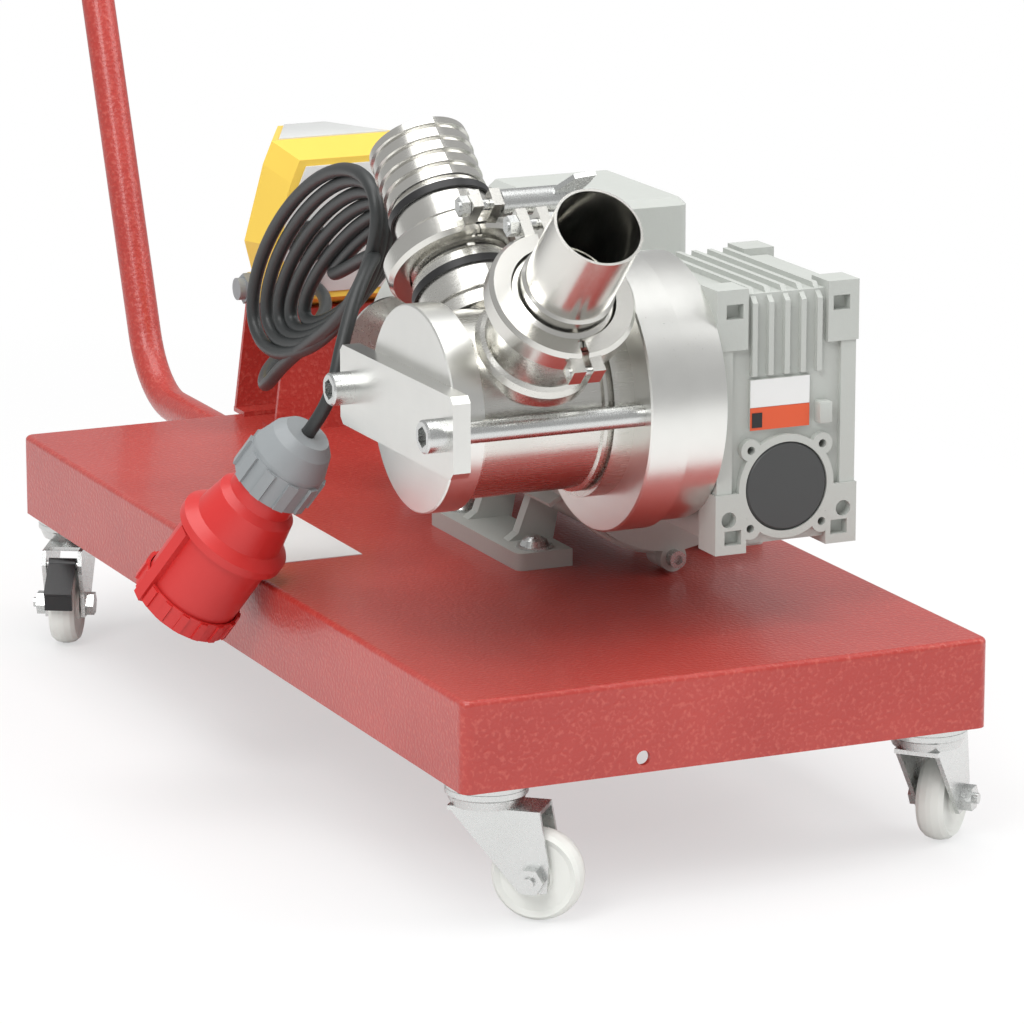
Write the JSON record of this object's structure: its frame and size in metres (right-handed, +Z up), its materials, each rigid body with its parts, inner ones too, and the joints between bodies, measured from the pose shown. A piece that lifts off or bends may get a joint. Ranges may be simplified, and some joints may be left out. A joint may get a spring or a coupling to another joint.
{
  "type": "rotary positive-displacement pump on a hand trolley",
  "caption": "Stainless rotary pump on a worm gear motor, on a red wheeled trolley with push handle, speed inverter, angled clamp ports and a wound mains lead.",
  "frame": {"origin": "centre of the box that the object fills, at floor level, without the mains lead", "axes": "+X toward the end away from the push handle, +Y toward the gearbox side, away from the pump cover, +Z up"},
  "size_m": [1.1796, 0.3967, 0.899],
  "materials": {
    "red_coat": "satin orange-peel powder coat",
    "gear_paint": "semi-gloss light grey-green paint on castings",
    "polished_steel": "mirror-polished stainless steel",
    "brushed_steel": "brushed stainless steel",
    "milled_steel": "fine-milled stainless plate",
    "zinc_steel": "bright zinc plating",
    "grey_cap": "dark grey cover",
    "yellow_plastic": "satin yellow moulding",
    "grey_plastic": "light grey moulding",
    "red_plastic": "satin red moulding",
    "black_plastic": "black moulding",
    "black_rubber": "matt black rubber",
    "cable_sheath": "dark grey cable sheath",
    "white_wheel": "milky white nylon",
    "brass": "turned brass",
    "bronze": "machined bronze",
    "copper_core": "varnished winding pack",
    "bare_casting": "bare die casting"
  },
  "bodies": {
    "chassis": {"adapter_disc": "milled_steel", "bearings": "zinc_steel", "cable_glands": "grey_plastic", "cable_hook": "brushed_steel", "cable_ties": "black_plastic", "cam_insert": "brushed_steel", "caster_mounts": "zinc_steel", "clamp_bar": "milled_steel", "clamp_bolts": "zinc_steel", "cover_oring": "black_rubber", "deck_tray": "red_coat", "discharge_tube": "polished_steel", "fan_cowl": "gear_paint", "ferrule_gaskets": "black_rubber", "foot_bolts": "zinc_steel", "gearbox_caps": "grey_cap", "gearbox_housing": "gear_paint", "handle_grips": "black_rubber", "housing_screws": "zinc_steel", "inverter_cover": "grey_plastic", "inverter_housing": "yellow_plastic", "inverter_stand": "red_coat", "motor_end_shield": "gear_paint", "motor_feet": "gear_paint", "motor_flange": "bare_casting", "motor_frame": "gear_paint", "pipe_clamps": "polished_steel", "plug_nut": "grey_plastic", "plug_pins": "brass", "plug_shroud": "red_plastic", "power_coil": "cable_sheath", "power_cord": "cable_sheath", "pump_body": "brushed_steel", "pump_cover": "milled_steel", "pump_flange": "milled_steel", "push_handle": "red_coat", "shaft_seal": "black_rubber", "stator": "copper_core", "suction_tail": "polished_steel", "terminal_box": "gear_paint", "terminal_lid": "gear_paint", "tie_rods": "zinc_steel"},
    "drive_rotor": {"rotor": "zinc_steel", "motor_fan": "grey_cap", "worm": "zinc_steel"},
    "pump_rotor": {"worm_wheel": "bronze", "pump_shaft": "brushed_steel", "impeller": "black_rubber"},
    "speed_knob": {"inverter_knob": "black_plastic"},
    "clamp_nut": {"wing_nut": "zinc_steel"},
    "swivel_front_near": {"caster_fork_front_near": "zinc_steel"},
    "wheel_front_near": {"caster_wheel_front_near": "white_wheel"},
    "swivel_front_far": {"caster_fork_front_far": "zinc_steel"},
    "wheel_front_far": {"caster_wheel_front_far": "white_wheel"},
    "swivel_rear_near": {"caster_fork_rear_near": "zinc_steel"},
    "wheel_rear_near": {"caster_wheel_rear_near": "white_wheel"},
    "pedal_rear_near": {"brake_pedal_rear_near": "black_plastic"},
    "swivel_rear_far": {"caster_fork_rear_far": "zinc_steel"},
    "wheel_rear_far": {"caster_wheel_rear_far": "white_wheel"},
    "pedal_rear_far": {"brake_pedal_rear_far": "black_plastic"}
  },
  "joints": [
    {"name": "motor_spin", "type": "hinge", "parent": "chassis", "child": "drive_rotor", "pos_m": [0.23556, 0.06005, 0.204], "axis": [1, 0, 0], "continuous": true},
    {"name": "pump_spin", "type": "hinge", "parent": "chassis", "child": "pump_rotor", "pos_m": [0.45556, -0.00195, 0.252], "axis": [0, 1, 0], "continuous": true},
    {"name": "knob_turn", "type": "hinge", "parent": "chassis", "child": "speed_knob", "pos_m": [-0.02744, 0.00505, 0.248], "axis": [1, 0, 0], "range_deg": [0, 270]},
    {"name": "clamp_nut_turn", "type": "hinge", "parent": "chassis", "child": "clamp_nut", "pos_m": [0.4243, -0.07745, 0.35255], "axis": [0, 1, 0], "continuous": true},
    {"name": "swivel_front_near_turn", "type": "hinge", "parent": "chassis", "child": "swivel_front_near", "pos_m": [0.55156, -0.13295, 0.071], "axis": [0, 0, 1], "continuous": true},
    {"name": "wheel_front_near_spin", "type": "hinge", "parent": "swivel_front_near", "child": "wheel_front_near", "pos_m": [0.56955, -0.1115, 0.025], "axis": [0.766, -0.6428, 0], "continuous": true},
    {"name": "swivel_front_far_turn", "type": "hinge", "parent": "chassis", "child": "swivel_front_far", "pos_m": [0.55156, 0.12905, 0.071], "axis": [0, 0, 1], "continuous": true},
    {"name": "wheel_front_far_spin", "type": "hinge", "parent": "swivel_front_far", "child": "wheel_front_far", "pos_m": [0.53282, 0.14986, 0.025], "axis": [0.7431, 0.6691, 0], "continuous": true},
    {"name": "swivel_rear_near_turn", "type": "hinge", "parent": "chassis", "child": "swivel_rear_near", "pos_m": [-0.08044, -0.13295, 0.071], "axis": [0, 0, 1], "continuous": true},
    {"name": "wheel_rear_near_spin", "type": "hinge", "parent": "swivel_rear_near", "child": "wheel_rear_near", "pos_m": [-0.0562, -0.14695, 0.025], "axis": [-0.5, -0.866, 0], "continuous": true},
    {"name": "pedal_rear_near_press", "type": "hinge", "parent": "swivel_rear_near", "child": "pedal_rear_near", "pos_m": [-0.0458, -0.15295, 0.053], "axis": [0.5, 0.866, 0], "range_deg": [0, 7]},
    {"name": "swivel_rear_far_turn", "type": "hinge", "parent": "chassis", "child": "swivel_rear_far", "pos_m": [-0.08044, 0.12905, 0.071], "axis": [0, 0, 1], "continuous": true},
    {"name": "wheel_rear_far_spin", "type": "hinge", "parent": "swivel_rear_far", "child": "wheel_rear_far", "pos_m": [-0.10469, 0.14305, 0.025], "axis": [0.5, 0.866, 0], "continuous": true},
    {"name": "pedal_rear_far_press", "type": "hinge", "parent": "swivel_rear_far", "child": "pedal_rear_far", "pos_m": [-0.11509, 0.14905, 0.053], "axis": [-0.5, -0.866, 0], "range_deg": [0, 7]}
  ],
  "couplings": [
    {"joint": "motor_spin", "follows": "pump_spin", "ratio": 10}
  ]
}
